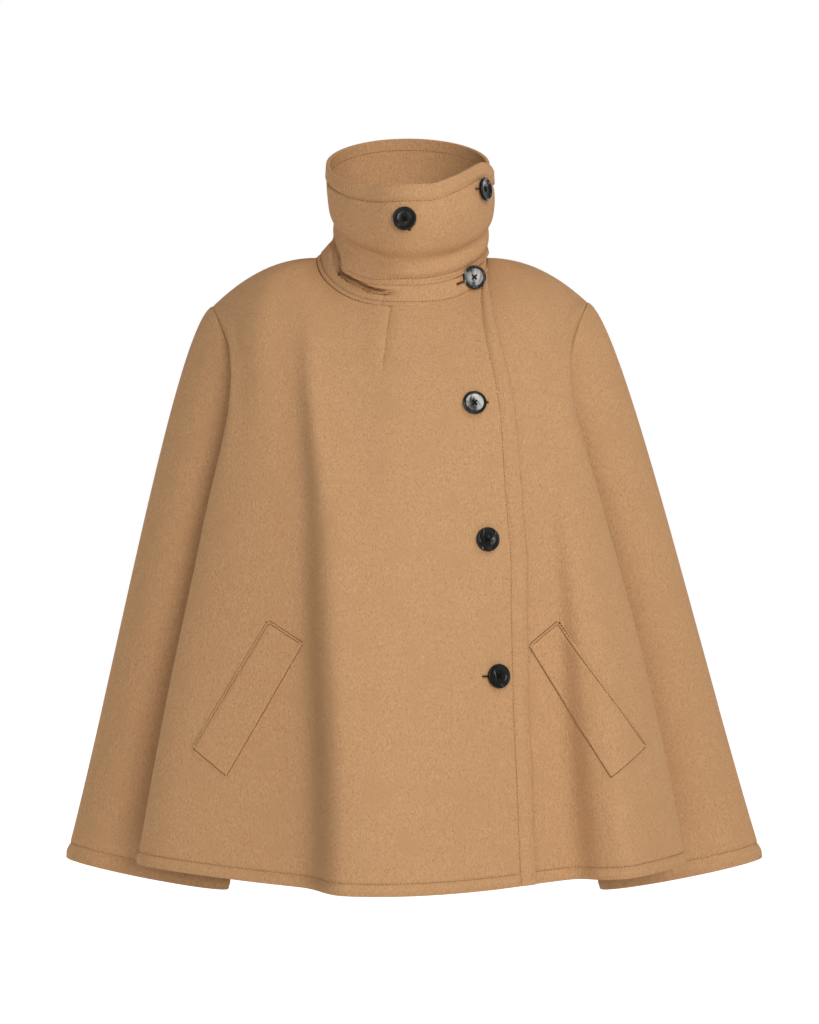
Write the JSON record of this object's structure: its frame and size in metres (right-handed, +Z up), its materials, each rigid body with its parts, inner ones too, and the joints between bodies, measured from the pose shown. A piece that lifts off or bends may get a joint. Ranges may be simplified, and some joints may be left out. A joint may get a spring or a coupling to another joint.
{
  "type": "swing coat",
  "caption": "Worn-shape swing coat with a funnel collar, a lapped front closed by buttons, slanted pocket welts and flared sleeves.",
  "frame": {"origin": "middle of the neck base, between the shoulders, where the coat rests on its wearer", "axes": "+Z up, +Y towards the coat's back, +X towards the wearer's left"},
  "size_m": [0.76, 0.4169, 0.8278],
  "materials": {
    "wool_cloth": "brushed felted wool cloth, camel",
    "button_horn": "polished dark marbled horn look"
  },
  "bodies": {
    "root": {"front_right": "wool_cloth", "front_left": "wool_cloth", "back": "wool_cloth", "sleeve_right": "wool_cloth", "sleeve_left": "wool_cloth", "neckband": "wool_cloth", "collar": "wool_cloth", "pocket_welt_right": "wool_cloth", "pocket_welt_left": "wool_cloth", "button_1": "button_horn", "button_2": "button_horn", "button_3": "button_horn", "button_4": "button_horn", "button_5": "button_horn", "button_6": "button_horn"}
  },
  "joints": []
}
